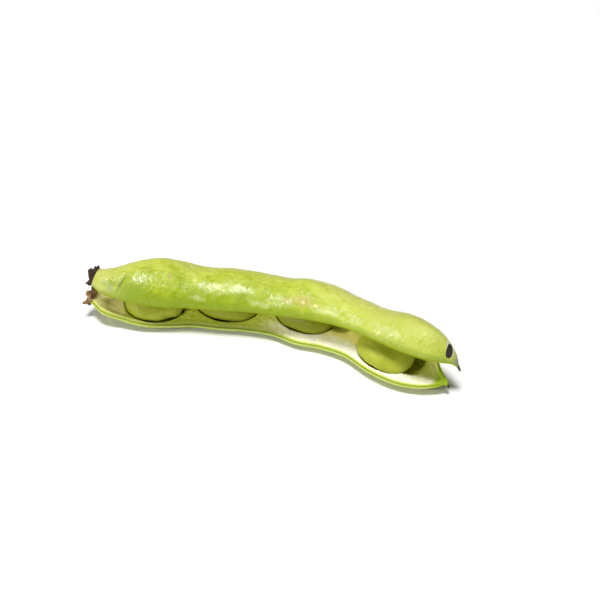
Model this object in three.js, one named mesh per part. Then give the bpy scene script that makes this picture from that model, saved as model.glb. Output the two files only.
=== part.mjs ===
// A fresh fava bean pod lying on its side, split open along its near seam.
// Two thick spongy valves gape from each other and still meet face to face at
// the back seam. Four beans lie in the hollows of the lower valve. Dried
// scraps of the calyx stay at the stem end, and the beak at the other end is
// split in two.
//
// Millimetres. +X runs from the stem end to the beak, +Y to the back seam,
// +Z up. The pod rests on z = 0 on the bulges of its lower valve.

import * as THREE from "three";

// ---- driving dimensions -------------------------------------------------

const RIM_EDGE = 0.7;          // height of the thin edge face of a valve
const SKIN_LIP = 0.45;         // width of the outer skin edge on the rim
const GROOVE_WIDTH = 0.6;      // width of the groove inside the skin edge
const GROOVE_DEPTH = 0.35;
const RIM_WIDTH = 1.5;         // skin edge, groove and inner edge together
const DOME_POWER = 1.2;        // above 1 the section is leaner than an ellipse
const WALL = 1.5;              // least wall between a hollow and the outside
const SEAM_GAP = 0.3;          // the two valves' clearance at the back seam
const BEAN_LIFT = 0.3;         // bean centre above the lower rim plane
const HOLLOW_PLAY = [1.0, 0.9, 0.7];  // hollow half sizes beyond the bean's

const STATIONS = 76;           // rings along a valve
const OUTER_STEPS = 14;        // facets across the outside of a ring
const INNER_STEPS = 14;        // facets across the pith of a ring

// Rows of the rims: station (0 stem end, 1 beak tip), then x, y, z.
const LOWER = {
  side: -1,
  near: [
    [0.00, -77.0, -13.2, 8.6], [0.05, -70.3, -16.6, 7.6],
    [0.10, -62.8, -15.6, 5.6], [0.16, -53.5, -14.2, 4.2],
    [0.22, -45.5, -11.2, 3.7], [0.29, -34.5, -6.4, 3.6],
    [0.36, -23.5, -3.8, 3.4], [0.43, -12.5, -0.9, 3.4],
    [0.50, -2.0, 0.2, 3.5], [0.57, 8.5, -1.4, 3.5],
    [0.64, 20.0, -0.7, 3.6], [0.71, 30.5, -2.4, 3.9],
    [0.78, 42.0, -8.0, 4.1], [0.85, 53.5, -10.9, 4.1],
    [0.91, 63.0, -10.2, 4.2], [0.96, 70.0, -7.6, 4.8],
    [0.985, 73.0, -5.6, 5.3], [1.00, 74.7, -5.9, 4.4],
  ],
  far: [
    [0.00, -76.5, -6.6, 11.4], [0.05, -70.5, -3.2, 12.9],
    [0.10, -63.0, 4.6, 13.6], [0.16, -54.0, 10.2, 13.9],
    [0.22, -44.0, 12.6, 13.6], [0.29, -34.0, 15.0, 13.4],
    [0.36, -23.5, 17.4, 13.2], [0.43, -12.5, 18.6, 13.2],
    [0.50, -2.0, 19.6, 13.2], [0.57, 8.5, 20.0, 13.2],
    [0.64, 19.0, 19.6, 13.3], [0.71, 31.0, 16.8, 13.4],
    [0.78, 43.0, 12.2, 13.6], [0.85, 55.0, 9.2, 13.8],
    [0.91, 64.2, 4.8, 13.2], [0.96, 70.0, -1.6, 10.0],
    [0.985, 73.4, -4.2, 6.9], [1.00, 74.9, -5.4, 4.8],
  ],
  // station, depth of the outside below the rim plane
  depth: [
    [0.00, 2.2], [0.05, 4.0], [0.10, 7.0], [0.16, 8.9], [0.22, 8.5],
    [0.29, 7.9], [0.36, 8.5], [0.43, 8.0], [0.50, 7.9], [0.57, 8.4],
    [0.64, 8.0], [0.71, 7.6], [0.78, 8.3], [0.85, 8.5], [0.91, 7.4],
    [0.96, 4.2], [0.985, 1.7], [1.00, 0.5],
  ],
};

const UPPER = {
  side: 1,
  near: [
    [0.00, -76.4, -12.4, 17.2], [0.05, -70.5, -15.6, 17.0],
    [0.10, -62.8, -16.0, 16.4], [0.16, -53.5, -15.6, 16.2],
    [0.22, -45.0, -13.8, 15.9], [0.29, -34.5, -10.0, 15.6],
    [0.36, -23.5, -7.2, 15.5], [0.43, -12.5, -4.2, 15.8],
    [0.50, -2.0, -2.5, 16.0], [0.57, 8.5, -1.2, 16.6],
    [0.64, 20.0, -0.8, 17.4], [0.71, 31.5, -2.2, 18.3],
    [0.78, 42.5, -5.6, 19.2], [0.85, 54.0, -8.6, 19.4],
    [0.91, 64.0, -9.0, 18.4], [0.95, 70.6, -7.4, 17.3],
    [0.973, 74.3, -5.3, 16.2], [0.987, 76.4, -4.1, 14.6],
    [1.00, 78.0, -3.2, 11.8],
  ],
  far: [
    [0.00, -76.0, -5.4, 20.6], [0.05, -70.5, -2.2, 19.0],
    [0.10, -63.0, 5.2, 16.0], [0.16, -54.0, 10.4, 14.4],
    [0.22, -44.0, 12.8, 14.0], [0.29, -34.0, 15.0, 13.8],
    [0.36, -23.5, 17.4, 13.6], [0.43, -12.5, 18.6, 13.6],
    [0.50, -2.0, 19.6, 13.6], [0.57, 8.5, 20.0, 13.6],
    [0.64, 19.0, 19.6, 13.7], [0.71, 31.0, 16.8, 13.9],
    [0.78, 43.5, 12.2, 14.6], [0.85, 56.0, 9.4, 15.4],
    [0.91, 66.5, 5.0, 15.8], [0.95, 72.6, 1.2, 15.6],
    [0.973, 75.3, -1.2, 14.9], [0.987, 76.9, -2.4, 13.6],
    [1.00, 78.3, -2.7, 12.0],
  ],
  depth: [
    [0.00, 2.4], [0.05, 5.6], [0.10, 9.5], [0.16, 12.6], [0.22, 12.5],
    [0.29, 10.5], [0.36, 11.1], [0.43, 10.7], [0.50, 10.1], [0.57, 11.2],
    [0.64, 10.7], [0.71, 8.9], [0.78, 9.1], [0.85, 10.9], [0.91, 10.5],
    [0.95, 7.7], [0.973, 4.4], [0.987, 1.4], [1.00, 0.5],
  ],
};

// Depth of the pith below the rim plane between and beyond the hollows.
const PITH_DEPTH = [
  [0.00, 1.2], [0.04, 2.4], [0.08, 2.2], [0.12, 1.0], [0.30, 0.5],
  [0.60, 0.5], [0.86, 0.6], [0.90, 1.6], [0.95, 2.0], [0.98, 0.5],
  [1.00, 0.0],
];

// Beans: station, place across the chord, half length, width, thickness, and
// the dent of the near edge: its place along the bean and its depth.
const BEANS = [
  { station: 0.166, across: 0.455, half: [12.6, 9.0, 5.8], dent: [0.55, 0.17] },
  { station: 0.355, across: 0.540, half: [13.4, 8.2, 5.6], dent: [0.10, 0.04] },
  { station: 0.570, across: 0.585, half: [12.8, 7.8, 5.6], dent: [-0.10, 0.02] },
  { station: 0.803, across: 0.520, half: [12.8, 8.4, 5.9], dent: [-0.20, 0.02] },
];

// Empty hollows beside the beans: one behind the third bean, and the long
// one of a bean that never filled, next to the beak.
const EMPTY_HOLLOWS = [
  { station: 0.665, across: 0.66, half: [7.2, 5.6, 4.6] },
  { station: 0.864, across: 0.575, half: [9.0, 7.2, 6.4] },
];

// ---- curves and sections ------------------------------------------------

// Smooth value of a table at a station: a cubic through the rows, with the
// slope at a row taken from its two neighbours.
function tableAt(rows, station) {
  const last = rows.length - 1;
  let i = 0;
  while (i < last - 1 && station > rows[i + 1][0]) {
    i += 1;
  }
  const slope = (row, column) => {
    const a = Math.max(row - 1, 0);
    const b = Math.min(row + 1, last);
    return (rows[b][column] - rows[a][column]) / (rows[b][0] - rows[a][0]);
  };
  const step = rows[i + 1][0] - rows[i][0];
  const u = (station - rows[i][0]) / step;
  return rows[i].slice(1).map((value, index) => {
    const column = index + 1;
    return (1 + 2 * u) * (1 - u) ** 2 * value
      + u * (1 - u) ** 2 * step * slope(i, column)
      + u * u * (3 - 2 * u) * rows[i + 1][column]
      + u * u * (u - 1) * step * slope(i + 1, column);
  });
}

// The section plane of a valve at a station: rim points, chord, and the
// direction from the rim plane into the valve.
function sectionAt(valve, station) {
  const near = new THREE.Vector3(...tableAt(valve.near, station));
  const far = new THREE.Vector3(...tableAt(valve.far, station));
  const middle = (at) => {
    const clamped = THREE.MathUtils.clamp(at, 0, 1);
    const a = new THREE.Vector3(...tableAt(valve.near, clamped));
    const b = new THREE.Vector3(...tableAt(valve.far, clamped));
    return a.add(b).multiplyScalar(0.5);
  };
  const forward = middle(station + 1e-3).sub(middle(station - 1e-3));
  forward.z *= 0.3;
  forward.normalize();
  const chord = far.clone().sub(near);
  const width = chord.length();
  chord.normalize();
  const inward = forward.clone().cross(chord).normalize();
  inward.multiplyScalar(valve.side);
  const [depth] = tableAt(valve.depth, station);
  const edge = Math.min(RIM_EDGE, 0.6 * depth);
  return { near, far, chord, width, inward, depth, edge, forward };
}

// Depth of the outside below the rim plane, at a share of the chord.
function outerDepth(section, share) {
  const hump = (2 * Math.sqrt(Math.max(share * (1 - share), 0))) ** DOME_POWER;
  return section.edge + (section.depth - section.edge) * hump;
}

function pointAt(section, share, depth) {
  return section.near.clone()
    .lerp(section.far, share)
    .addScaledVector(section.inward, depth);
}

// Centre and axes of a hollow: its length follows the pod's bend, and its
// width and length lie in the rim plane of the valve.
function hollowFrame(valve, hollow) {
  const section = sectionAt(valve, hollow.station);
  const { inward } = section;
  const length = section.forward.clone()
    .addScaledVector(inward, -section.forward.dot(inward))
    .normalize();
  return {
    centre: pointAt(section, hollow.across, 0),
    length,
    chord: inward.clone().cross(length).multiplyScalar(valve.side),
    inward,
  };
}

// Depth of one hollow at a point of the rim plane. A fullness of 0.5 is an
// ellipsoid, nearer 1 a dish with a soft edge.
function hollowDepth(hollow, point) {
  const offset = point.clone().sub(hollow.frame.centre);
  const along = offset.dot(hollow.frame.length) / hollow.half[0];
  const across = offset.dot(hollow.frame.chord) / hollow.half[1];
  const rest = 1 - along * along - across * across;
  return rest > 0 ? hollow.half[2] * rest ** hollow.fullness : 0;
}

function smoothStep(low, high, value) {
  return THREE.MathUtils.smoothstep(value, low, high);
}

// Depth of the inner face below the rim plane: the rim with its groove,
// the pith, and the hollows sunk in it.
function innerDepth(section, station, share, hollows) {
  const fromEdge = Math.min(share, 1 - share) * section.width;
  const onRim = 1 - smoothStep(RIM_WIDTH, RIM_WIDTH + 2.2, fromEdge);
  const [pith] = tableAt(PITH_DEPTH, station);
  let depth = pith * (1 - onRim);
  const point = pointAt(section, share, 0);
  for (const hollow of hollows) {
    depth = Math.max(depth, hollowDepth(hollow, point));
  }
  const room = outerDepth(section, share) - WALL;
  return Math.max(Math.min(depth, room), 0);
}

// ---- solids -------------------------------------------------------------

// A closed body through rings of points, all with the same count, each end
// closed by a fan to its middle.
function loftRings(rings) {
  const count = rings[0].length;
  const points = rings.flat();
  const faces = [];
  for (let r = 0; r < rings.length - 1; r += 1) {
    for (let k = 0; k < count; k += 1) {
      const a = r * count + k;
      const b = r * count + ((k + 1) % count);
      faces.push(a, b, a + count, b, b + count, a + count);
    }
  }
  for (const [r, flip] of [[0, false], [rings.length - 1, true]]) {
    const middle = new THREE.Vector3();
    rings[r].forEach((point) => middle.add(point));
    points.push(middle.divideScalar(count));
    for (let k = 0; k < count; k += 1) {
      const a = r * count + k;
      const b = r * count + ((k + 1) % count);
      const tip = points.length - 1;
      faces.push(...(flip ? [tip, a, b] : [tip, b, a]));
    }
  }
  const geometry = new THREE.BufferGeometry();
  geometry.setFromPoints(points);
  geometry.setIndex(faces);
  return outwardFaces(geometry);
}

// Turn all faces over if the body is inside out.
function outwardFaces(geometry) {
  const position = geometry.getAttribute("position");
  const index = geometry.getIndex();
  const corner = [0, 1, 2].map(() => new THREE.Vector3());
  let volume = 0;
  for (let i = 0; i < index.count; i += 3) {
    corner.forEach((c, n) => c.fromBufferAttribute(position, index.getX(i + n)));
    volume += corner[0].dot(corner[1].cross(corner[2]));
  }
  if (volume < 0) {
    for (let i = 0; i < index.count; i += 3) {
      const swap = index.getX(i + 1);
      index.setX(i + 1, index.getX(i + 2));
      index.setX(i + 2, swap);
    }
  }
  geometry.computeVertexNormals();
  return geometry;
}

// One ring of a valve: the outside from the near to the far rim, then the
// inner face back to the near rim.
function valveRing(valve, station, hollows) {
  const section = sectionAt(valve, station);
  const ring = [];
  for (let k = 0; k <= OUTER_STEPS; k += 1) {
    const share = (1 - Math.cos((Math.PI * k) / OUTER_STEPS)) / 2;
    ring.push(pointAt(section, share, outerDepth(section, share)));
  }
  const rim = Math.min(RIM_WIDTH, section.width * 0.22);
  const rimShare = rim / section.width;
  const groove = [
    [0, 0],
    [SKIN_LIP, 0],
    [SKIN_LIP + GROOVE_WIDTH / 2, GROOVE_DEPTH],
    [SKIN_LIP + GROOVE_WIDTH, 0],
  ].map(([place, sink]) => [(place / RIM_WIDTH) * rimShare, sink]);
  const innerRow = [];
  for (let k = 0; k <= INNER_STEPS; k += 1) {
    const share = rimShare + (1 - 2 * rimShare) * (k / INNER_STEPS);
    innerRow.push([share, innerDepth(section, station, share, hollows)]);
  }
  const fade = smoothStep(2.5, 6, section.width);
  ring.push(pointAt(section, 1, 0));
  for (const [share, depth] of innerRow.reverse()) {
    ring.push(pointAt(section, share, depth));
  }
  for (const [share, sink] of groove.reverse()) {
    ring.push(pointAt(section, share, sink * fade));
  }
  if (valve.side < 0) {
    ring.forEach((point) => { point.z = Math.max(point.z, 0); });
  }
  return ring;
}

function valveBody(valve) {
  const hollows = BEANS.map((bean) => ({
    frame: hollowFrame(valve, bean),
    half: bean.half.map((size, axis) => size + HOLLOW_PLAY[axis]),
    fullness: 0.5,
  }));
  for (const hollow of EMPTY_HOLLOWS) {
    hollows.push({
      frame: hollowFrame(valve, hollow),
      half: hollow.half,
      fullness: 0.8,
    });
  }
  const rings = [];
  for (let k = 0; k <= STATIONS; k += 1) {
    rings.push(valveRing(valve, k / STATIONS, hollows));
  }
  return loftRings(rings);
}

// A bean: a flattened egg, longer than wide, with a shallow dent in the edge
// that faces the near seam.
function beanBody(bean) {
  const around = 16;
  const slices = 13;
  const rings = [];
  const frame = hollowFrame(LOWER, bean);
  const [length, width, thick] = bean.half;
  for (let r = 1; r < slices; r += 1) {
    const turn = (Math.PI * r) / slices;
    const along = -Math.cos(turn);
    const radius = Math.sin(turn) ** 0.8;
    const ring = [];
    for (let k = 0; k < around; k += 1) {
      const angle = (2 * Math.PI * k) / around;
      const dent = 1 - bean.dent[1] * Math.exp(-(((along - bean.dent[0]) / 0.28) ** 2))
        * Math.max(-Math.cos(angle), 0);
      const point = frame.centre.clone()
        .addScaledVector(frame.length, length * 0.97 * along)
        .addScaledVector(frame.chord, width * radius * Math.cos(angle) * dent)
        .addScaledVector(frame.inward, -BEAN_LIFT - thick * radius * Math.sin(angle));
      ring.push(point);
    }
    rings.push(ring);
  }
  return loftRings(rings);
}

// A dried scrap of calyx behind a valve's stem end: a short lobed stub that
// spreads a little, then shrivels to a crooked point.
function calyxBody(valve, scrap) {
  const around = 15;
  const section = sectionAt(valve, 0);
  const centre = pointAt(section, 0.5, section.depth * 0.45);
  const axis = new THREE.Vector3(...scrap.axis).normalize();
  const rings = [];
  scrap.profile.forEach(([travel, size, lobe], r) => {
    const ring = [];
    for (let k = 0; k < around; k += 1) {
      const angle = (2 * Math.PI * k) / around;
      const radius = size * (1 + lobe * Math.cos(scrap.lobes * angle + 0.9 * r));
      const point = centre.clone()
        .addScaledVector(axis, travel + SEAM_GAP)
        .addScaledVector(section.chord, section.width * 0.5 * radius * Math.cos(angle))
        .addScaledVector(section.inward, section.depth * 0.8 * radius * Math.sin(angle));
      ring.push(point);
    }
    rings.push(ring);
  });
  return loftRings(rings);
}

// ---- the pod ------------------------------------------------------------

const SKIN = { color: 0xa9bd3a, roughness: 0.4, metalness: 0 };
const BEAN_COAT = { color: 0xb4b85c, roughness: 0.45, metalness: 0 };
const DRY_UPPER = { color: 0x35291f, roughness: 0.95, metalness: 0 };
const DRY_LOWER = { color: 0x6a5138, roughness: 0.95, metalness: 0 };

// travel from the valve's end, size, lobe depth
const CALYX_UPPER = {
  axis: [-1.0, -0.1, 0.25],
  lobes: 3,
  profile: [
    [0.0, 0.9, 0.05], [0.8, 1.05, 0.2], [1.5, 0.8, 0.3], [2.3, 0.3, 0.25],
  ],
};
const CALYX_LOWER = {
  axis: [-1.0, -0.1, 0.1],
  lobes: 5,
  profile: [
    [0.2, 0.95, 0.05], [1.0, 1.15, 0.1], [2.0, 1.05, 0.2], [3.0, 0.6, 0.25],
  ],
};

const pod = new THREE.Group();

function addPiece(name, geometry, look) {
  const mesh = new THREE.Mesh(geometry, new THREE.MeshStandardMaterial(look));
  mesh.name = name;
  pod.add(mesh);
}

addPiece("lower_valve", valveBody(LOWER), SKIN);
addPiece("upper_valve", valveBody(UPPER), SKIN);
BEANS.forEach((bean, index) => {
  addPiece(`bean_${index + 1}`, beanBody(bean), BEAN_COAT);
});
addPiece("calyx_lower", calyxBody(LOWER, CALYX_LOWER), DRY_LOWER);
addPiece("calyx_upper", calyxBody(UPPER, CALYX_UPPER), DRY_UPPER);

// The origin is the middle of the pod's outline on the surface it rests on.
const bounds = new THREE.Box3().setFromObject(pod);
const middle = bounds.getCenter(new THREE.Vector3());
pod.position.set(-middle.x, -middle.y, -bounds.min.z);

export default pod;
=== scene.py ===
import math

import bmesh
import bpy
import numpy as np
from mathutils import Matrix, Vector, noise


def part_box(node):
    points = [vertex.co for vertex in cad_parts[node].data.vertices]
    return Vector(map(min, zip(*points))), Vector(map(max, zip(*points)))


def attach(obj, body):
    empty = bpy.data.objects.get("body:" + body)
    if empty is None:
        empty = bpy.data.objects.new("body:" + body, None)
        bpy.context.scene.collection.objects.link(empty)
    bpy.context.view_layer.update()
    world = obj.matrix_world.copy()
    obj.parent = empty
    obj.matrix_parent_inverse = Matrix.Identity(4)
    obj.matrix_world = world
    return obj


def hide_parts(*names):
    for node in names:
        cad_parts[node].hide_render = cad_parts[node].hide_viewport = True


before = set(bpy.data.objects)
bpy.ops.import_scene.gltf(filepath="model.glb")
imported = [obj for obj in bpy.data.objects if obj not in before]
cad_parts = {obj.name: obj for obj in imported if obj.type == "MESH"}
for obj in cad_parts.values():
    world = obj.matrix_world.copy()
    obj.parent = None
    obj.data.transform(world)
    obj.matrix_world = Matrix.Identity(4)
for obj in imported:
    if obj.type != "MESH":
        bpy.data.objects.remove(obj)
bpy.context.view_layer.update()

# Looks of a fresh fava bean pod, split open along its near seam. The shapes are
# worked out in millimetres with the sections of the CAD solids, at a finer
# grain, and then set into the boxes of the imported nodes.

MM = 0.001

# ---------------------------------------------------------------- pod form
# Rows: station (0 stem end, 1 beak tip), then x, y, z in millimetres.
LOWER_NEAR = (
    (0.00, -77.0, -13.2, 8.6), (0.05, -70.3, -16.6, 7.6), (0.10, -62.8, -15.6, 5.6),
    (0.16, -53.5, -14.2, 4.2), (0.22, -45.5, -11.2, 3.7), (0.29, -34.5, -6.4, 3.6),
    (0.36, -23.5, -3.8, 3.4), (0.43, -12.5, -0.9, 3.4), (0.50, -2.0, 0.2, 3.5),
    (0.57, 8.5, -1.4, 3.5), (0.64, 20.0, -0.7, 3.6), (0.71, 30.5, -2.4, 3.9),
    (0.78, 42.0, -8.0, 4.1), (0.85, 53.5, -10.9, 4.1), (0.91, 63.0, -10.2, 4.2),
    (0.96, 70.0, -7.6, 4.8), (0.985, 73.0, -5.6, 5.3), (1.00, 74.7, -5.9, 4.4),
)
LOWER_FAR = (
    (0.00, -76.5, -6.6, 11.4), (0.05, -70.5, -3.2, 12.9), (0.10, -63.0, 4.6, 13.6),
    (0.16, -54.0, 10.2, 13.9), (0.22, -44.0, 12.6, 13.6), (0.29, -34.0, 15.0, 13.4),
    (0.36, -23.5, 17.4, 13.2), (0.43, -12.5, 18.6, 13.2), (0.50, -2.0, 19.6, 13.2),
    (0.57, 8.5, 20.0, 13.2), (0.64, 19.0, 19.6, 13.3), (0.71, 31.0, 16.8, 13.4),
    (0.78, 43.0, 12.2, 13.6), (0.85, 55.0, 9.2, 13.8), (0.91, 64.2, 4.8, 13.2),
    (0.96, 70.0, -1.6, 10.0), (0.985, 73.4, -4.2, 6.9), (1.00, 74.9, -5.4, 4.8),
)
LOWER_DEPTH = (
    (0.00, 2.2), (0.05, 4.0), (0.10, 7.0), (0.16, 8.9), (0.22, 8.5), (0.29, 7.9),
    (0.36, 8.5), (0.43, 8.0), (0.50, 7.9), (0.57, 8.4), (0.64, 8.0), (0.71, 7.6),
    (0.78, 8.3), (0.85, 8.5), (0.91, 7.4), (0.96, 4.2), (0.985, 1.7), (1.00, 0.5),
)
UPPER_NEAR = (
    (0.00, -76.4, -12.4, 17.2), (0.05, -70.5, -15.6, 17.0), (0.10, -62.8, -16.0, 16.4),
    (0.16, -53.5, -15.6, 16.2), (0.22, -45.0, -13.8, 15.9), (0.29, -34.5, -10.0, 15.6),
    (0.36, -23.5, -7.2, 15.5), (0.43, -12.5, -4.2, 15.8), (0.50, -2.0, -2.5, 16.0),
    (0.57, 8.5, -1.2, 16.6), (0.64, 20.0, -0.8, 17.4), (0.71, 31.5, -2.2, 18.3),
    (0.78, 42.5, -5.6, 19.2), (0.85, 54.0, -8.6, 19.4), (0.91, 64.0, -9.0, 18.4),
    (0.95, 70.6, -7.4, 17.3), (0.973, 74.3, -5.3, 16.2), (0.987, 76.4, -4.1, 14.6),
    (1.00, 78.0, -3.2, 11.8),
)
UPPER_FAR = (
    (0.00, -76.0, -5.4, 20.6), (0.05, -70.5, -2.2, 19.0), (0.10, -63.0, 5.2, 16.0),
    (0.16, -54.0, 10.4, 14.4), (0.22, -44.0, 12.8, 14.0), (0.29, -34.0, 15.0, 13.8),
    (0.36, -23.5, 17.4, 13.6), (0.43, -12.5, 18.6, 13.6), (0.50, -2.0, 19.6, 13.6),
    (0.57, 8.5, 20.0, 13.6), (0.64, 19.0, 19.6, 13.7), (0.71, 31.0, 16.8, 13.9),
    (0.78, 43.5, 12.2, 14.6), (0.85, 56.0, 9.4, 15.4), (0.91, 66.5, 5.0, 15.8),
    (0.95, 72.6, 1.2, 15.6), (0.973, 75.3, -1.2, 14.9), (0.987, 76.9, -2.4, 13.6),
    (1.00, 78.3, -2.7, 12.0),
)
UPPER_DEPTH = (
    (0.00, 2.4), (0.05, 5.6), (0.10, 9.5), (0.16, 12.6), (0.22, 12.5), (0.29, 10.5),
    (0.36, 11.1), (0.43, 10.7), (0.50, 10.1), (0.57, 11.2), (0.64, 10.7), (0.71, 8.9),
    (0.78, 9.1), (0.85, 10.9), (0.91, 10.5), (0.95, 7.7), (0.973, 4.4), (0.987, 1.4),
    (1.00, 0.5),
)
PITH_DEPTH = (
    (0.00, 1.2), (0.04, 2.4), (0.08, 2.2), (0.12, 1.0), (0.30, 0.5), (0.60, 0.5),
    (0.86, 0.6), (0.90, 1.6), (0.95, 2.0), (0.98, 0.5), (1.00, 0.0),
)
# station, place across the chord, half length, half width, half thickness,
# then where along the near edge it is dented and how deep
BEANS = (
    (0.166, 0.455, 12.6, 9.0, 5.8, 0.55, 0.17),
    (0.355, 0.540, 13.4, 8.2, 5.6, 0.10, 0.04),
    (0.570, 0.585, 12.8, 7.8, 5.6, -0.10, 0.02),
    (0.803, 0.520, 12.8, 8.4, 5.9, -0.20, 0.02),
)
# How much darker green each bean is painted than the palest, as painted shade under the upper
# valve.
BEAN_PAINTED_SHADE = (0.0, 0.6, 0.95, 0.15)
# How far each hollow's half sizes go beyond its bean's, snugger than the CAD's facets
# allow. The fourth is too snug: that bean's uneven coat cuts 0.13 mm into the wall.
HOLLOW_PLAY = ((0.8, 0.6, 0.7), (0.8, 0.6, 0.7), (0.6, 0.45, 0.7), (0.5, 0.35, 0.7))
EMPTY_HOLLOWS = (
    (0.665, 0.66, 7.2, 5.6, 4.6),
    (0.864, 0.575, 9.0, 7.2, 6.4),
)
RIM_EDGE = 0.7       # height of the thin edge face of a valve
RIM_WIDTH = 1.5      # skin lip, groove and inner edge together
RIM_SHARE = 0.22     # widest a rim may be, as a share of the chord
RIM_SLOPE = 2.2      # width over which the pith sinks from the rim
DOME_POWER = 1.2     # above 1 the section is leaner than an ellipse
WALL = 1.5           # least wall between a hollow and the outside
BEAN_LIFT = 0.3      # bean centre above the lower rim plane

# Unevenness, as size of the features and height, in millimetres.
BROAD_SWELL = (13.0, 0.42)
SMALL_SWELL = (4.2, 0.13)
PITH_FLUFF = (2.4, 0.22)
LIP_FLUFF = (0.9, 0.25)
COAT_SWELL = (6.5, 0.22)
CALYX_RUMPLE = (1.3, 0.55)

LOWER = dict(side=-1.0, near=LOWER_NEAR, far=LOWER_FAR, depth=LOWER_DEPTH)
UPPER = dict(side=1.0, near=UPPER_NEAR, far=UPPER_FAR, depth=UPPER_DEPTH)

STATIONS = 380       # rings along a valve
OUTER_STEPS = 96     # points across the outside of a ring
INNER_STEPS = 84     # points across the pith of a ring
RIM_STEPS = 12       # points across each rim


def table_at(rows, stations):
    """Cubic through the rows, slopes taken from each row's neighbours."""
    rows = np.asarray(rows, float)
    knots, values = rows[:, 0], rows[:, 1:]
    slopes = np.zeros_like(values)
    slopes[1:-1] = (values[2:] - values[:-2]) / (knots[2:] - knots[:-2])[:, None]
    slopes[0] = (values[1] - values[0]) / (knots[1] - knots[0])
    slopes[-1] = (values[-1] - values[-2]) / (knots[-1] - knots[-2])
    stations = np.atleast_1d(np.asarray(stations, float))
    i = np.clip(np.searchsorted(knots, stations, side="right") - 1, 0, len(knots) - 2)
    step = (knots[i + 1] - knots[i])[:, None]
    u = (stations[:, None] - knots[i][:, None]) / step
    return (
        (1 + 2 * u) * (1 - u) ** 2 * values[i]
        + u * (1 - u) ** 2 * step * slopes[i]
        + u * u * (3 - 2 * u) * values[i + 1]
        + u * u * (u - 1) * step * slopes[i + 1]
    )


def unit(vectors):
    return vectors / np.linalg.norm(vectors, axis=-1, keepdims=True)


def sections(valve, stations):
    """Rim ends, directions and depth of a valve's sections."""
    near = table_at(valve["near"], stations)
    far = table_at(valve["far"], stations)

    def middle(at):
        at = np.clip(at, 0, 1)
        return (table_at(valve["near"], at) + table_at(valve["far"], at)) / 2

    forward = middle(stations + 1e-3) - middle(stations - 1e-3)
    forward[:, 2] *= 0.3
    forward = unit(forward)
    chord = far - near
    width = np.linalg.norm(chord, axis=1)
    chord = chord / width[:, None]
    inward = unit(np.cross(forward, chord)) * valve["side"]
    depth = table_at(valve["depth"], stations)[:, 0]
    edge = np.minimum(RIM_EDGE, 0.6 * depth)
    return dict(
        near=near, far=far, chord=chord, width=width, inward=inward,
        depth=depth, edge=edge, forward=forward,
    )


def smooth_step(low, high, value):
    t = np.clip((value - low) / (high - low), 0, 1)
    return t * t * (3 - 2 * t)


def bump(value, centre, spread):
    return np.exp(-(((value - centre) / spread) ** 2))


def outer_depth(section, share):
    hump = (2 * np.sqrt(np.clip(share * (1 - share), 0, None))) ** DOME_POWER
    edge = section["edge"][:, None]
    return edge + (section["depth"][:, None] - edge) * hump


def place(section, share, depth):
    """Points at a share of the chord and a depth from the rim plane."""
    span = (section["far"] - section["near"])[:, None, :]
    return (
        section["near"][:, None, :]
        + span * share[..., None]
        + section["inward"][:, None, :] * depth[..., None]
    )


def hollow_frame(valve, hollow):
    """Centre of a hollow and its lengthwise, crosswise and inward directions."""
    section = sections(valve, np.array([hollow[0]]))
    centre = place(section, np.array([[hollow[1]]]), np.zeros((1, 1)))[0, 0]
    inward = section["inward"][0]
    forward = section["forward"][0]
    length = unit(forward - inward * (forward @ inward))
    return centre, length, np.cross(inward, length) * valve["side"], inward


def hollow_depth(valve, hollow, play, fullness, points):
    """Depth of a hollow: fullness 0.5 is an ellipsoid, 1 a shallow-edged dish."""
    centre, length, chord, _ = hollow_frame(valve, hollow)
    offset = points - centre
    lengthwise = offset @ length / (hollow[2] + play[0])
    crosswise = offset @ chord / (hollow[3] + play[1])
    rest = np.clip(1 - lengthwise**2 - crosswise**2, 0, None)
    return (hollow[4] + play[2]) * rest**fullness


# ---------------------------------------------------------------- placing
def design_box(valve):
    """Box of a valve's bare sections in design millimetres."""
    section = sections(valve, np.linspace(0, 1, 133))
    share = np.tile((1 - np.cos(np.linspace(0, np.pi, 25))) / 2, (133, 1))
    points = place(section, share, outer_depth(section, share)).reshape(-1, 3)
    rims = np.concatenate([section["near"], section["far"]])
    points = np.concatenate([points, rims])
    return points.min(axis=0), points.max(axis=0)


def frame_offset():
    """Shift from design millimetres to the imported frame, read off the valves."""
    shifts = []
    for name, valve in (("lower_valve", LOWER), ("upper_valve", UPPER)):
        low, high = design_box(valve)
        low[2] = max(low[2], 0.0)
        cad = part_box(name)
        cad_middle = (np.array(cad[0]) + np.array(cad[1])) / 2 / MM
        shifts.append(cad_middle - (low + high) / 2)
    return np.mean(shifts, axis=0)


SHIFT = frame_offset()
SHIFT[2] = 0.0


def to_frame(points):
    return (np.asarray(points, float) + SHIFT) * MM


def cloud(points, size, seed, octaves):
    """Smooth noise in -1..1 at each point, with features of a size in mm."""
    offset = Vector((seed * 7.31, seed * 3.17, seed * 11.9))
    values = np.empty(len(points))
    for n, p in enumerate(points):
        q = Vector(p) / size + offset
        values[n] = noise.fractal(q, 0.6, 2.0, octaves, noise_basis="PERLIN_ORIGINAL")
    return values


def uneven(points, kind, seed, octaves):
    """Smooth noise of one kind of unevenness, in millimetres."""
    size, height = kind
    return cloud(points, size, seed, octaves) * height


def ring_quads(rings, count):
    """Quads between closed rings of points that follow one another."""
    rows = np.arange(rings - 1)[:, None] * count
    cols = np.arange(count)[None, :]
    a, b = rows + cols, rows + (cols + 1) % count
    return np.stack([a, b, b + count, a + count], axis=-1).reshape(-1, 4)


def end_caps(rings, count):
    """One face over the first ring and one over the last, wound as ring_quads winds."""
    first = tuple(range(count))[::-1]
    last = tuple((rings - 1) * count + k for k in range(count))
    return first, last


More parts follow.
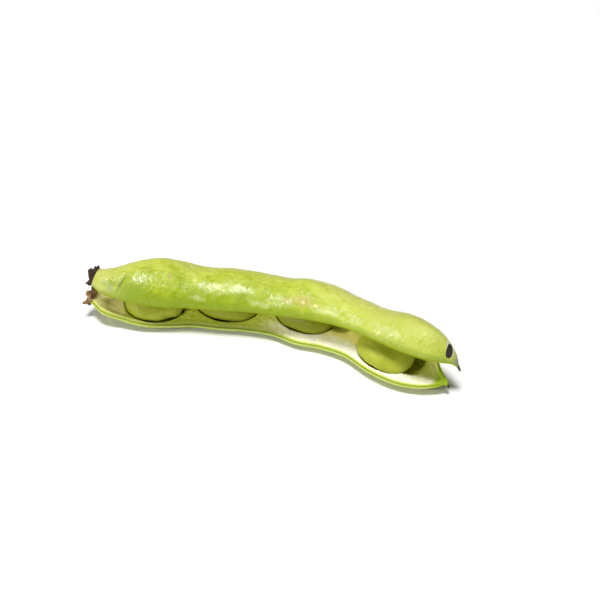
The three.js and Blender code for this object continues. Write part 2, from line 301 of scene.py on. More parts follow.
def mesh_piece(name, points, faces, materials, face_slots=None, attributes=None):
    """A smooth-shaded mesh object in the frame, with one value a point for each attribute."""
    mesh = bpy.data.meshes.new(name)
    mesh.from_pydata([tuple(p) for p in to_frame(points)], [], faces)
    for mat in materials:
        mesh.materials.append(mat)
    if face_slots is not None:
        mesh.polygons.foreach_set("material_index", np.asarray(face_slots, np.int32))
    mesh.polygons.foreach_set("use_smooth", np.ones(len(mesh.polygons), bool))
    for key, values in (attributes or {}).items():
        layer = mesh.attributes.new(key, "FLOAT", "POINT")
        layer.data.foreach_set("value", np.asarray(values, np.float32))
    mesh.update()
    piece = bpy.data.objects.new(name, mesh)
    bpy.context.collection.objects.link(piece)
    return piece


# ---------------------------------------------------------------- materials
class Shader:
    """A few short calls for writing a node tree."""

    def __init__(self, name):
        self.mat = bpy.data.materials.new(name)
        self.mat.use_nodes = True
        self.tree = self.mat.node_tree
        self.tree.nodes.clear()
        self.out = self.tree.nodes.new("ShaderNodeOutputMaterial")
        self.bsdf = self.tree.nodes.new("ShaderNodeBsdfPrincipled")
        self.tree.links.new(self.bsdf.outputs[0], self.out.inputs["Surface"])
        self.coords = self.tree.nodes.new("ShaderNodeTexCoord").outputs["Object"]

    def put(self, socket, value):
        if isinstance(value, bpy.types.NodeSocket):
            self.tree.links.new(value, socket)
        else:
            socket.default_value = value

    def attribute(self, name):
        node = self.tree.nodes.new("ShaderNodeAttribute")
        node.attribute_name = name
        return node.outputs["Fac"]

    def noise(self, size_mm, detail, rough=0.55, warp=0.0, vector=None):
        """Smooth noise with features of a size in mm, or in the units of a given vector."""
        node = self.tree.nodes.new("ShaderNodeTexNoise")
        self.put(node.inputs["Vector"], vector or self.coords)
        self.put(node.inputs["Scale"], (1 if vector else 1 / MM) / size_mm)
        self.put(node.inputs["Detail"], detail)
        self.put(node.inputs["Roughness"], rough)
        self.put(node.inputs["Distortion"], warp)
        return node.outputs["Fac"]

    def cells(self, size_mm):
        """Distance to the nearest of many scattered points."""
        node = self.tree.nodes.new("ShaderNodeTexVoronoi")
        self.put(node.inputs["Vector"], self.coords)
        self.put(node.inputs["Scale"], 1 / MM / size_mm)
        return node.outputs["Distance"]

    def math(self, kind, a, b, c=0.0):
        node = self.tree.nodes.new("ShaderNodeMath")
        node.operation = kind
        for socket, value in zip(node.inputs, (a, b, c)):
            self.put(socket, value)
        return node.outputs[0]

    def around_zero(self, value):
        """A noise of middle value 0.5, moved to swing about 0."""
        return self.math("SUBTRACT", value, 0.5)

    def remap(self, value, low, high, to_low=0.0, to_high=1.0):
        """A smooth step from one value to another between low and high."""
        node = self.tree.nodes.new("ShaderNodeMapRange")
        node.interpolation_type = "SMOOTHSTEP"
        for key, number in (
            ("Value", value), ("From Min", low), ("From Max", high),
            ("To Min", to_low), ("To Max", to_high),
        ):
            self.put(node.inputs[key], number)
        return node.outputs["Result"]

    def vector(self, x, y):
        node = self.tree.nodes.new("ShaderNodeCombineXYZ")
        for socket, value in zip(node.inputs, (x, y)):
            self.put(socket, value)
        return node.outputs[0]

    def mix(self, amount, a, b):
        node = self.tree.nodes.new("ShaderNodeMix")
        node.data_type = "RGBA"
        self.put(node.inputs[0], amount)
        for socket, value in ((node.inputs[6], a), (node.inputs[7], b)):
            self.put(socket, value if isinstance(value, bpy.types.NodeSocket) else rgba(value))
        return node.outputs[2]

    def ramp(self, value, stops):
        node = self.tree.nodes.new("ShaderNodeValToRGB")
        self.put(node.inputs["Fac"], value)
        band = node.color_ramp
        while len(band.elements) < len(stops):
            band.elements.new(0.5)
        for element, (position, colour) in zip(band.elements, stops):
            element.position = position
            element.color = rgba(colour)
        return node.outputs["Color"]

    def bump(self, height, distance_mm, strength=1.0, normal=None):
        node = self.tree.nodes.new("ShaderNodeBump")
        self.put(node.inputs["Height"], height)
        self.put(node.inputs["Distance"], distance_mm * MM)
        self.put(node.inputs["Strength"], strength)
        if normal is not None:
            self.put(node.inputs["Normal"], normal)
        return node.outputs["Normal"]

    def finish(self, **inputs):
        for key, value in inputs.items():
            self.put(self.bsdf.inputs[key.replace("_", " ")], value)
        return self.mat


def rgba(code):
    """Linear colour from a six-digit sRGB code."""
    parts = [int(code[i:i + 2], 16) / 255 for i in (0, 2, 4)]
    linear = [p / 12.92 if p <= 0.04045 else ((p + 0.055) / 1.055) ** 2.4 for p in parts]
    return (*linear, 1.0)


def soft_flesh(shader, weight, radius_mm):
    """Light that passes a little way into fresh plant tissue."""
    shader.put(shader.bsdf.inputs["Subsurface Weight"], weight)
    shader.put(shader.bsdf.inputs["Subsurface Radius"], (1.0, 1.0, 0.35))
    shader.put(shader.bsdf.inputs["Subsurface Scale"], radius_mm * MM)


# attribute, colour, greatest strength, how broken up
SKIN_MARKS = (
    ("green_patch", "839900", 0.85, 0.3),
    ("grey_patch", "9aa670", 0.55, 0.3),
    # The crease colour is painted shade in the neck fold.
    ("crease_shade", "587204", 0.85, 0.3),
    ("pink_blotch", "cba87c", 0.5, 2.2),
    ("yellow_dots", "f0ec9c", 0.7, 1.4),
    ("brown_dots", "9a7a40", 0.55, 2.0),
)


def skin_material():
    """Fresh skin: flank painted darker green as painted shade, top painted paler yellow as painted
    light, marks, beak, and broken waxy gloss with painted highlights.
    """
    sh = Shader("pod_skin_fresh")
    across = sh.attribute("across")
    along = sh.attribute("along")
    broad = sh.noise(10, 3, 0.5, 0.5)
    fine = sh.noise(2.2, 4, 0.6)
    grain = sh.noise(0.7, 2, 0.5)
    streaks = sh.noise(
        1.0, 4, 0.6, 0.3,
        vector=sh.vector(sh.math("MULTIPLY", along, 14.0), sh.math("MULTIPLY", across, 34.0)),
    )
    # Across the valve the skin is painted from darker green at the near rim, as painted shade, to
    # paler yellow at the top, as painted light; the noise and streaks are its own uneven tone.
    tone = sh.math("MULTIPLY_ADD", across, 0.7, -0.02)
    tone = sh.math("ADD", sh.remap(along, 0.42, 0.78, 0.0, 0.26), tone)
    tone = sh.math("MULTIPLY_ADD", sh.around_zero(broad), 0.55, tone)
    tone = sh.math("MULTIPLY_ADD", sh.around_zero(streaks), 0.35, tone)
    tone = sh.math("MULTIPLY_ADD", sh.around_zero(fine), 0.3, tone)
    colour = sh.ramp(tone, (
        (0.0, "8ca206"), (0.12, "9eb012"), (0.32, "bfca4a"), (0.6, "cccf6c"), (1.0, "d8d88a"),
    ))
    # The beak half is a duller green, and the neck a paler yellow.
    colour = sh.mix(sh.remap(along, 0.64, 0.82, 0.0, 0.45), colour, "b3bc50")
    neck = sh.remap(along, 0.16, 0.03)
    colour = sh.mix(sh.math("MULTIPLY", neck, 0.55), colour, "cbc877")
    # Pale specks, rusty flecks and a few dark spots.
    specks = sh.remap(sh.cells(2.6), 0.11, 0.05)
    specks = sh.math("MULTIPLY", specks, sh.remap(sh.noise(9, 1), 0.45, 0.6))
    colour = sh.mix(sh.math("MULTIPLY", specks, 0.35), colour, "dfe39a")
    rusty = sh.remap(sh.noise(5.5, 5, 0.7), 0.68, 0.74)
    colour = sh.mix(sh.math("MULTIPLY", rusty, 0.45), colour, "9a8a3c")
    spots = sh.remap(sh.cells(7.5), 0.06, 0.035)
    colour = sh.mix(sh.math("MULTIPLY", spots, 0.7), colour, "6b5222")
    # Along each rim: on the upper valve the skin is painted darker green, as painted shade; on the
    # lower valve it is a paler lip green.
    rim = sh.math("MINIMUM", across, sh.math("SUBTRACT", 1.0, across))
    by_rim = sh.mix(sh.attribute("lid"), "b2bc5e", "869a06")
    colour = sh.mix(sh.math("MULTIPLY", sh.remap(rim, 0.035, 0.0), 0.6), colour, by_rim)
    for name, code, strength, ragged in SKIN_MARKS:
        mark = sh.math("MULTIPLY_ADD", sh.around_zero(fine), 1.0, sh.attribute(name))
        mark = sh.math("MULTIPLY_ADD", sh.around_zero(grain), ragged, mark)
        colour = sh.mix(sh.remap(mark, 0.25, 0.95, 0.0, strength), colour, code)
    # Waxy bloom, laid where the highlights fall: shiny where it is thickest, and painted paler
    # there as a painted highlight.
    bloom_and_sheen = sh.math(
        "MULTIPLY_ADD", sh.around_zero(sh.noise(2.6, 3, 0.6)), 1.6, sh.attribute("waxy_sheen"),
    )
    colour = sh.mix(sh.remap(bloom_and_sheen, 0.3, 0.9, 0.0, 0.3), colour, "e2e6ac")
    # Scar with its pale ring, then the grey beak with its dark tip.
    scar = sh.math("MULTIPLY_ADD", sh.around_zero(fine), 0.5, sh.attribute("scar"))
    halo = sh.math("MULTIPLY_ADD", sh.around_zero(fine), 0.5, sh.attribute("halo"))
    colour = sh.mix(sh.math("MULTIPLY", sh.remap(halo, 1.1, 0.85), 0.9), colour, "d4cfa6")
    colour = sh.mix(sh.remap(scar, 1.06, 0.94), colour, "2b2219")
    beak = sh.math("MULTIPLY_ADD", sh.around_zero(fine), 0.012, along)
    colour = sh.mix(sh.remap(beak, 0.972, 0.985), colour, "8d9473")
    colour = sh.mix(sh.remap(beak, 0.986, 0.993), colour, "2d2620")
    gloss = sh.math(
        "MULTIPLY_ADD", sh.around_zero(sh.noise(7, 2)), 1.1, sh.noise(1.8, 4, 0.7),
    )
    gloss = sh.math("MULTIPLY_ADD", sh.attribute("waxy_sheen"), -0.45, gloss)
    plain_side = sh.math("MULTIPLY", sh.attribute("lid"), sh.remap(across, 0.5, 0.4, 0.0, 0.06))
    rough = sh.remap(sh.math("ADD", gloss, plain_side), 0.34, 0.62, 0.2, 0.58)
    lumps = sh.bump(sh.noise(5.0, 3, 0.5), 1.0, 0.6)
    pits = sh.bump(sh.noise(1.7, 4, 0.6), 0.5, 0.9, lumps)
    skin = sh.bump(grain, 0.07, 0.9, pits)
    soft_flesh(sh, 0.18, 2.0)
    wet = sh.remap(bloom_and_sheen, 0.25, 0.85, 0.0, 0.6)
    return sh.finish(
        Base_Color=colour, Roughness=rough, Normal=skin, Coat_Normal=skin,
        Coat_Weight=wet, Coat_Roughness=0.15, Specular_IOR_Level=0.45,
    )


def lining_material(name, skin_lip, lip_top):
    """The rim with its groove, and the spongy pith inside it."""
    sh = Shader(name)
    rim = sh.attribute("rim_mm")
    along = sh.attribute("along")
    across = sh.attribute("across")
    sunk = sh.attribute("sunk")
    wobble = sh.noise(2.5, 3, 0.6)
    rim = sh.math("MULTIPLY_ADD", sh.around_zero(wobble), 0.5, rim)
    edge = sh.ramp(sh.math("DIVIDE", rim, 4.0), (
        (0.0, skin_lip), (0.09, lip_top), (0.14, "82941e"), (0.21, "889a22"),
        (0.26, "aab84a"), (0.36, "c0ca64"), (0.5, "dfe096"), (0.7, "efedb8"),
    ))
    mottled = sh.ramp(sh.noise(3.5, 4, 0.6), (
        (0.3, "fbf4c4"), (0.5, "fffbdc"), (0.75, "fffef0"),
    ))
    # Further from the rim, under the upper valve, the pith is painted a warmer yellow, as painted
    # shade.
    far_shade_tint = sh.remap(sh.math("MULTIPLY_ADD", wobble, 1.5, rim), 5.0, 9.5)
    pith = sh.mix(far_shade_tint, mottled, "e4de78")
    # Towards the stem half the pith is painted a greener olive, as painted shade under the upper
    # valve.
    stem_half_shade = sh.math("MULTIPLY_ADD", sh.around_zero(sh.noise(12, 2)), 0.12, along)
    pith = sh.mix(sh.math("MULTIPLY", sh.remap(stem_half_shade, 0.56, 0.40), 0.95), pith, "c6d138")
    pith = sh.mix(sh.math("MULTIPLY", sh.remap(along, 0.13, 0.06), 0.9), pith, "fff4b8")
    # The far wall inside the beak end is painted olive, as painted shade.
    inside_beak = sh.math("MULTIPLY", sh.remap(along, 0.80, 0.86), sh.remap(across, 0.24, 0.40))
    pith = sh.mix(sh.math("MULTIPLY", inside_beak, 0.85), pith, "b0b440")
    # Deep in the hollows the pith is painted a darker olive, as painted shade.
    deep = sh.remap(sunk, 0.8, 4.2)
    pith = sh.mix(sh.math("MULTIPLY", deep, 0.9), pith, "acb03e")
    neck = sh.math("MULTIPLY", sh.remap(along, 0.10, 0.03), sh.remap(rim, 4.2, 6.8))
    pith = sh.mix(sh.math("MULTIPLY", neck, 0.8), pith, "9a9038")
    colour = sh.mix(sh.remap(rim, 1.5, 2.4), edge, pith)
    green_end = sh.remap(along, 0.935, 0.962)
    colour = sh.mix(green_end, colour, "93ab1c")
    colour = sh.mix(sh.remap(along, 0.988, 0.996), colour, "2d2620")
    fuzz = sh.bump(sh.noise(0.9, 4, 0.7), 0.15, 0.7)
    fuzz = sh.bump(sh.noise(0.3, 2, 0.6), 0.05, 0.7, fuzz)
    soft_flesh(sh, 0.35, 2.2)
    return sh.finish(
        Base_Color=colour, Roughness=0.7, Normal=fuzz, Specular_IOR_Level=0.2,
    )


def bean_material():
    """Waxy seed coat with a dark scar inside a pale ring."""
    sh = Shader("bean_coat_waxy")
    broad = sh.noise(9, 3, 0.5, 0.3)
    fine = sh.noise(1.6, 4, 0.6)
    tone = sh.math("MULTIPLY_ADD", sh.around_zero(fine), 0.35, broad)
    colour = sh.ramp(tone, ((0.25, "9ca41a"), (0.5, "aeb62e"), (0.8, "c0c64c")))
    # Painted shade: beans further under the upper valve are painted a darker green.
    colour = sh.mix(sh.attribute("shade_darkening"), colour, "868c04")
    hilum = sh.math("MULTIPLY_ADD", sh.around_zero(fine), 0.3, sh.attribute("hilum"))
    colour = sh.mix(sh.remap(hilum, 1.9, 1.2), colour, "dfe0ae")
    colour = sh.mix(sh.remap(hilum, 1.05, 0.9), colour, "241c12")
    rough = sh.remap(sh.noise(4, 3, 0.6), 0.3, 0.7, 0.42, 0.6)
    skin = sh.bump(sh.noise(2.4, 3, 0.5), 0.16, 0.6)
    skin = sh.bump(sh.noise(0.6, 2, 0.5), 0.03, 0.7, skin)
    soft_flesh(sh, 0.3, 2.5)
    return sh.finish(
        Base_Color=colour, Roughness=rough, Normal=skin,
        Coat_Weight=0.06, Coat_Roughness=0.4, Specular_IOR_Level=0.3,
    )


def calyx_material(name, dark, mid, light):
    """Dry, fibrous scrap with patches of three browns."""
    sh = Shader(name)
    patches = sh.noise(1.2, 5, 0.7, 0.6)
    colour = sh.ramp(patches, ((0.3, dark), (0.52, mid), (0.72, light)))
    fibres = sh.bump(sh.noise(0.5, 4, 0.7, 1.0), 0.25, 0.9)
    return sh.finish(
        Base_Color=colour, Roughness=0.85, Normal=fibres, Specular_IOR_Level=0.25,
    )


# ---------------------------------------------------------------- valves
SCAR_STATION = 0.964
SCAR_SHARE = 0.215
SCAR_HALF = (1.45, 3.1)    # half width along the pod, half height across it
SCAR_TURN = math.radians(32)
HALO_SHIFT = (0.7, 1.4)
HALO_HALF = (2.1, 4.4)
FAR_FROM_SCAR = 9.0        # reach of the scar and its ring where there is none
PINCH = (0.101, 0.135)     # station and share of the pinch across the neck
PINCH_TURN = -25           # in degrees
STEP_ALONG = 0.004         # steps that give the skin's own directions
STEP_ACROSS = 0.03

# name: (station, share, half length along the pod, half width across, turn in degrees)
MARKS = {
    # The crease mark is a dark line painted in the neck fold, as painted shade.
    "crease_shade": ((*PINCH, 0.55, 5.5, PINCH_TURN),),
    "grey_patch": ((0.074, 0.075, 2.2, 1.8, 0),),
    "green_patch": (
        (0.130, 0.060, 8.5, 3.8, 0), (0.195, 0.03, 9.0, 2.2, 0), (0.068, 0.16, 4.5, 1.6, 10),
        (0.300, 0.02, 10.0, 1.6, 0),
    ),
    "pink_blotch": ((0.585, 0.120, 5.0, 2.4, 0), (0.545, 0.105, 2.5, 1.5, 0)),
    "yellow_dots": ((0.588, 0.10, 0.8, 0.7, 0), (0.618, 0.085, 1.0, 0.8, 0)),
    # Waxy patches sit where the highlights fall: real gloss, and a paler painted highlight.
    "waxy_sheen": (
        (0.148, 0.205, 5.0, 3.0, 0), (0.340, 0.19, 7.5, 2.6, 0), (0.414, 0.165, 6.5, 2.2, 0),
        (0.318, 0.05, 4.0, 1.4, 0), (0.472, 0.045, 6.0, 1.4, 0), (0.527, 0.085, 7.0, 2.6, 0),
        (0.657, 0.072, 8.0, 2.2, 0), (0.724, 0.085, 4.5, 2.2, 0), (0.812, 0.095, 8.0, 2.8, 0),
        (0.055, 0.22, 3.0, 1.5, 0),
    ),
    "brown_dots": (
        (0.164, 0.34, 1.2, 1.0, 0), (0.171, 0.31, 0.7, 0.7, 0), (0.226, 0.27, 0.7, 1.6, 20),
        (0.300, 0.22, 0.5, 0.5, 0), (0.47, 0.33, 0.6, 0.5, 0), (0.68, 0.30, 0.8, 0.5, 0),
    ),
}


def rim_profile(place_mm):
    """Height of the near rim: rounded skin lip, groove, inner edge."""
    lip = 0.12 * bump(place_mm, 0.22, 0.25)
    groove = -0.38 * bump(place_mm, 0.75, 0.22)
    inner = 0.06 * bump(place_mm, 1.25, 0.25)
    return lip + groove + inner


def place_outer(valve, station, share):
    """One point of a valve's outside."""
    section = sections(valve, np.array([station]))
    share = np.array([[share]])
    return place(section, share, outer_depth(section, share))[0, 0]


def skin_directions(valve, station, share, turn):
    """A spot on the skin, and two crossing directions there turned by an angle."""
    spot = place_outer(valve, station, share)
    lengthwise = unit(place_outer(valve, station + STEP_ALONG, share) - spot)
    crosswise = unit(place_outer(valve, station, share + STEP_ACROSS) - spot)
    c, s = math.cos(turn), math.sin(turn)
    return spot, lengthwise * c + crosswise * s, crosswise * c - lengthwise * s


def skin_marks(valve, points):
    """How strongly each kind of mark colours each point, 0 to 1: none on the lower valve."""
    values = {name: np.zeros(len(points)) for name in MARKS}
    if valve is LOWER:
        return values
    for name, marks in MARKS.items():
        for station, share, half_length, half_width, turn in marks:
            spot, aside, upright = skin_directions(valve, station, share, math.radians(turn))
            offset = points - spot
            reach = np.hypot(offset @ aside / half_length, offset @ upright / half_width)
            values[name] = np.maximum(values[name], np.exp(-(reach**2)))
    return values


def neck_fold(points):
    """Pinch across the upper valve's neck, with a swelling on its beak side."""
    spot, aside, upright = skin_directions(UPPER, *PINCH, math.radians(PINCH_TURN))
    offset = points - spot
    reach = np.exp(-((offset @ upright / 6.0) ** 2))
    travel = offset @ aside
    swelling = 0.9 * bump(travel, 2.6, 2.2)
    pinch = 1.1 * bump(travel, 0.0, 1.2)
    return reach * (swelling - pinch)


def scar_reach(valve, points):
    """Distance from the scar and from its pale ring, 1 on the edge of each."""
    if valve is LOWER:
        nowhere = np.full(len(points), FAR_FROM_SCAR)
        return nowhere, nowhere
    spot, aside, upright = skin_directions(valve, SCAR_STATION, SCAR_SHARE, SCAR_TURN)
    offset = points - spot
    scar = np.hypot(offset @ aside / SCAR_HALF[0], offset @ upright / SCAR_HALF[1])
    offset = offset - aside * HALO_SHIFT[0] - upright * HALO_SHIFT[1]
    halo = np.hypot(offset @ aside / HALO_HALF[0], offset @ upright / HALO_HALF[1])
    return scar, halo


def inner_shares(section):
    """Shares across the inner face of each ring, with fine steps on both rims."""
    width = section["width"][:, None]
    rim = np.minimum(RIM_WIDTH, width * RIM_SHARE)
    rim_steps = np.linspace(0, 1, RIM_STEPS)
    pith_steps = np.linspace(0, 1, INNER_STEPS)[1:-1]
    near_rim = rim_steps[None, :] * rim / width
    pith = rim / width + (1 - 2 * rim / width) * pith_steps[None, :]
    return np.concatenate([near_rim, pith, 1 - near_rim[:, ::-1]], axis=1), rim


def hollow_relief(valve, flat):
    """Depth of the bean hollows and the empty ones, measured from the rim plane."""
    sunk = np.zeros(flat.shape[:2])
    for bean, play in zip(BEANS, HOLLOW_PLAY):
        sunk = np.maximum(sunk, hollow_depth(valve, bean, play, 0.5, flat))
    for hollow in EMPTY_HOLLOWS:
        sunk = np.maximum(sunk, hollow_depth(valve, hollow, (0, 0, 0), 0.8, flat))
    return sunk


def valve_piece(name, valve, lining, seed):
    """One half of the pod: skin outside, rims with a groove, and pith with its hollows."""
    stations = np.linspace(0, 1, STATIONS)
    section = sections(valve, stations)
    width = section["width"][:, None]
    upper = valve is UPPER

    outer_share = np.tile((1 - np.cos(np.linspace(0, np.pi, OUTER_STEPS))) / 2, (STATIONS, 1))
    outer = place(section, outer_share, outer_depth(section, outer_share))

    inner_share, rim = inner_shares(section)
    from_edge = np.minimum(inner_share, 1 - inner_share) * width
    flat = place(section, inner_share, np.zeros_like(inner_share))
    sunk = hollow_relief(valve, flat)
    slope = smooth_step(RIM_WIDTH, RIM_WIDTH + RIM_SLOPE, from_edge)
    level = table_at(PITH_DEPTH, stations) * slope
    room = outer_depth(section, inner_share) - WALL
    inner_depth = np.clip(np.minimum(np.maximum(level, sunk), room), 0, None)
    fade = smooth_step(2.5, 6.0, width)    # no groove on the narrow tips
    inner_depth = inner_depth - rim_profile(from_edge * RIM_WIDTH / rim) * fade
    inner = place(section, inner_share, inner_depth)

    def both(on_outer, on_inner):
        """Values on the outside and the inner face, in the order of the points."""
        return np.concatenate([on_outer, on_inner[:, ::-1]], axis=1).reshape(-1)

    points = np.concatenate([outer, inner[:, ::-1]], axis=1)
    count = points.shape[1]
    points = points.reshape(-1, 3)
    none_outer, none_inner = np.zeros_like(outer_share), np.zeros_like(inner_share)

    # Soft unevenness of the skin, and a fluffier pith.
    normal = np.repeat(section["inward"], count, axis=0)
    swell = uneven(points, BROAD_SWELL, seed, 2) + uneven(points, SMALL_SWELL, seed + 3, 2)
    if upper:
        swell = swell + neck_fold(points)
    away = both(np.sin(np.pi * outer_share), none_inner)
    points = points + normal * (swell * away)[:, None]
    lips = both(none_outer, bump(sunk, 1.2, 1.3))
    fluff = uneven(points, PITH_FLUFF, seed + 5, 3) + uneven(points, LIP_FLUFF, seed + 8, 2) * lips
    on_pith = both(none_outer, smooth_step(1.4, 2.4, from_edge))
    points = points + normal * (fluff * on_pith)[:, None]
    if not upper:
        points[:, 2] = np.maximum(points[:, 2], 0.0)    # the bulges rest on the surface

    quads = ring_quads(STATIONS, count)
    caps = end_caps(STATIONS, count)
    if upper:
        quads = quads[:, ::-1]
        caps = [cap[::-1] for cap in caps]
    faces = [tuple(q) for q in quads.tolist()] + list(caps)
    slots = np.tile((np.arange(count) >= OUTER_STEPS - 1).astype(int), STATIONS - 1)
    slots = np.concatenate([slots, [1, 1]])

    scar, halo = scar_reach(valve, points)
    attributes = dict(
        across=both(outer_share, inner_share),
        along=np.repeat(stations, count),
        rim_mm=both(none_outer, from_edge),
        sunk=both(none_outer, sunk),
        scar=scar,
        halo=halo,
        lid=np.full(len(points), float(upper)),
        **skin_marks(valve, points),
    )
    return mesh_piece(name, points, faces, [SKIN, lining], slots, attributes)


# ---------------------------------------------------------------- beans
TINY = 1e-6    # keeps the bean's two ends from dividing by zero


def bean_piece(name, bean, shade_darkening, seed):
    """A flat, blunt-ended bean with a dented near edge and a scar at its stem end."""
    _, _, half_length, half_width, half_thick, dent_place, dent_depth = bean
    centre, length, chord, inward = hollow_frame(LOWER, bean)
    ball = bmesh.new()
    bmesh.ops.create_icosphere(ball, subdivisions=6, radius=1.0)
    unit_points = np.array([v.co[:] for v in ball.verts])
    faces = [tuple(v.index for v in f.verts) for f in ball.faces]
    ball.free()
    a, b, c = unit_points.T
    blunt = np.sign(a) * np.abs(a) ** 0.94
    radius = np.hypot(b, c)
    full = np.where(radius > TINY, radius**0.78 / np.maximum(radius, TINY), 1.0)
    dent = 1 - dent_depth * bump(a, dent_place, 0.28) * np.clip(-b, 0, None)
    dimple = 1 - 0.10 * np.exp(-((a / 0.45) ** 2 + (b / 0.5) ** 2)) * np.abs(c)
    lean = 1 + 0.05 * a
    x = half_length * 0.97 * blunt
    y = half_width * b * full * dent * lean
    z = half_thick * c * full * dimple
    points = (
        centre
        + x[:, None] * length
        + y[:, None] * chord
        + (z - BEAN_LIFT)[:, None] * inward
    )
    normals = unit(
        (a / half_length)[:, None] * length
        + (b / half_width)[:, None] * chord
        + (c / half_thick)[:, None] * inward
    )
    rough = uneven(points, COAT_SWELL, seed, 3)
    points = points + normals * (rough - 0.1)[:, None]
    scar = np.hypot((a + 0.93) / 0.16, np.hypot((b - 0.28) / 0.34, c / 0.22))
    shade = np.full(len(points), shade_darkening)
    return mesh_piece(name, points, faces, [BEAN], None, dict(hilum=scar, shade_darkening=shade))


# ---------------------------------------------------------------- calyx
def calyx_piece(name, valve, axis, lobes, profile, mat, seed, ragged):
    """A shrivelled, torn cup of calyx behind a valve's stem end.

    Each row of the profile holds the travel along the axis in millimetres, the size
    beside the valve's end, and how strongly the lobes show.
    """
    around, rings = 120, 60
    section = sections(valve, np.array([0.0]))
    depth = section["depth"][0]
    centre = place(section, np.array([[0.5]]), np.array([[depth * 0.45]]))[0, 0]
    axis = unit(np.array(axis, float))
    angle = np.linspace(0, 2 * np.pi, around, endpoint=False)
    travel_rows = np.array(profile, float)
    u = np.linspace(0, 1, rings)
    knots = np.linspace(0, 1, len(travel_rows))
    travel, size, lobe = (np.interp(u, knots, travel_rows[:, k]) for k in range(3))
    turn = 0.9 * u * (len(travel_rows) - 1)
    folds = np.cos(lobes * angle[None, :] + turn[:, None])
    small = np.cos((lobes * 2 + 1) * angle[None, :] - 1.7 * turn[:, None])
    radius = size[:, None] * (1 + lobe[:, None] * folds + 0.4 * lobe[:, None] * small)
    tear = ragged * np.sin(np.pi * u[:, None]) ** 2 * np.clip(folds, -0.4, 1)
    points = (
        centre
        + (travel[:, None] + 0.3 + tear)[..., None] * axis
        + (radius * np.cos(angle) * section["width"][0] * 0.5)[..., None] * section["chord"][0]
        + (radius * np.sin(angle) * depth * 0.8)[..., None] * section["inward"][0]
    ).reshape(-1, 3)
    rumple = uneven(points, CALYX_RUMPLE, seed, 4)
    hub = np.repeat(centre + travel[:, None] * axis, around, axis=0)
    out = points - hub
    points = points + unit(out) * (rumple * np.repeat(smooth_step(0, 0.15, u), around))[:, None]
    faces = [tuple(q) for q in ring_quads(rings, around).tolist()]
    faces += end_caps(rings, around)
    return mesh_piece(name, points, faces, [mat])


SKIN = skin_material()
LOWER_LINING = lining_material("pod_pith_lower", "b0bc60", "bcc76c")
# The upper valve's lip is painted darker green than the lower's, as painted shade.
UPPER_LINING = lining_material("pod_pith_upper", "8ea012", "9cae22")
BEAN = bean_material()
DARK_CALYX = calyx_material("calyx_dark", "1c1511", "3a2c22", "6a5442")
BROWN_CALYX = calyx_material("calyx_brown", "3c281a", "8e6c46", "d8c498")


def keep(piece, node):
    """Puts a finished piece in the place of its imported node."""
    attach(piece, "root")
    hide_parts(node)


keep(valve_piece("lower_valve_fresh", LOWER, LOWER_LINING, 1), "lower_valve")
keep(valve_piece("upper_valve_fresh", UPPER, UPPER_LINING, 2), "upper_valve")
for number, (bean, shade_darkening) in enumerate(zip(BEANS, BEAN_PAINTED_SHADE), 1):
    piece = bean_piece(f"bean_{number}_waxy", bean, shade_darkening, 20 + number)
    keep(piece, f"bean_{number}")
keep(
    calyx_piece(
        "calyx_lower_ragged", LOWER, (-1.0, -0.1, 0.1), 5,
        ((-0.5, 1.0, 0.03), (1.0, 1.25, 0.06), (2.4, 1.2, 0.12), (2.2, 0.7, 0.2), (1.2, 0.1, 0.1)),
        BROWN_CALYX, 41, 0.8,
    ),
    "calyx_lower",
)
keep(
    calyx_piece(
        "calyx_upper_ragged", UPPER, (-1.0, -0.1, 0.25), 3,
        ((-0.8, 1.0, 0.03), (0.2, 1.12, 0.1), (1.1, 1.0, 0.25), (0.8, 0.6, 0.2), (0.3, 0.1, 0.1)),
        DARK_CALYX, 57, 1.1,
    ),
    "calyx_upper",
)


# ---------------------------------------------------------------- stage
FLOOR_HALF = 6.0        # metres
WORLD_STRENGTH = 0.09
VIEW_AZIMUTH = 21.4      # degrees from straight in front, towards the beak
VIEW_ELEVATION = 38.0    # degrees above the surface
VIEW_DISTANCE = 620.0    # millimetres
VIEW_HEIGHT = 8.0        # of the point looked at, in millimetres
VIEW_SHIFT = (-0.040, -0.0467)    # that point from the middle of the view, in sensor widths
LENS = 92.0
SENSOR = 36.0


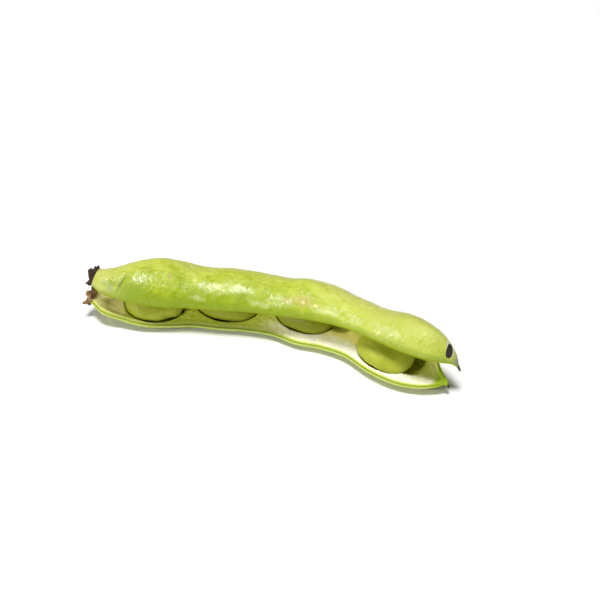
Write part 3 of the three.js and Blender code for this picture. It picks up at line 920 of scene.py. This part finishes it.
def floor():
    """A wide, plain, pale floor."""
    sh = Shader("pale_floor")
    colour = sh.mix(sh.noise(60, 2), "f8f8f8", "fafafa")
    mat = sh.finish(Base_Color=colour, Roughness=0.9, Specular_IOR_Level=0.1)
    mesh = bpy.data.meshes.new("floor")
    half = FLOOR_HALF
    mesh.from_pydata(
        [(-half, -half, 0), (half, -half, 0), (half, half, 0), (-half, half, 0)],
        [], [(0, 1, 2, 3)],
    )
    mesh.materials.append(mat)
    plane = bpy.data.objects.new("floor", mesh)
    bpy.context.collection.objects.link(plane)


def area_light(name, azimuth, elevation, distance, size, power):
    """A square white softbox that faces the pod, in degrees, metres and watts."""
    az, el = math.radians(azimuth), math.radians(elevation)
    back = Vector((math.sin(az) * math.cos(el), -math.cos(az) * math.cos(el), math.sin(el)))
    light = bpy.data.lights.new(name, "AREA")
    light.shape = "SQUARE"
    light.size = size
    light.energy = power
    lamp = bpy.data.objects.new(name, light)
    lamp.location = back * distance
    lamp.rotation_euler = back.to_track_quat("Z", "Y").to_euler()
    bpy.context.collection.objects.link(lamp)


def camera():
    """Seen from in front and above, a little from the beak's side."""
    azimuth, elevation = math.radians(VIEW_AZIMUTH), math.radians(VIEW_ELEVATION)
    back = np.array([
        math.sin(azimuth) * math.cos(elevation),
        -math.cos(azimuth) * math.cos(elevation),
        math.sin(elevation),
    ])
    right = np.array([math.cos(azimuth), math.sin(azimuth), 0.0])
    up = np.cross(back, right)
    aside, upwards = (shift * SENSOR / LENS * VIEW_DISTANCE for shift in VIEW_SHIFT)
    aim = np.array([0.0, 0.0, VIEW_HEIGHT]) - right * aside - up * upwards
    spot = aim + back * VIEW_DISTANCE
    data = bpy.data.cameras.new("camera")
    data.lens = LENS
    data.sensor_width = SENSOR
    data.clip_start = 0.01
    eye = bpy.data.objects.new("camera", data)
    eye.location = to_frame(spot)
    eye.rotation_euler = Vector(back).to_track_quat("Z", "Y").to_euler()
    bpy.context.collection.objects.link(eye)
    bpy.context.scene.camera = eye


floor()
area_light("key_overhead", azimuth=5, elevation=78, distance=2.5, size=0.65, power=63)
area_light("front_left", azimuth=-38, elevation=24, distance=1.5, size=0.22, power=9)
world = bpy.data.worlds.new("white_room")
world.use_nodes = True
background = world.node_tree.nodes["Background"]
background.inputs["Color"].default_value = (1, 1, 1, 1)
background.inputs["Strength"].default_value = WORLD_STRENGTH
bpy.context.scene.world = world
bpy.context.scene.view_settings.view_transform = "Standard"
camera()
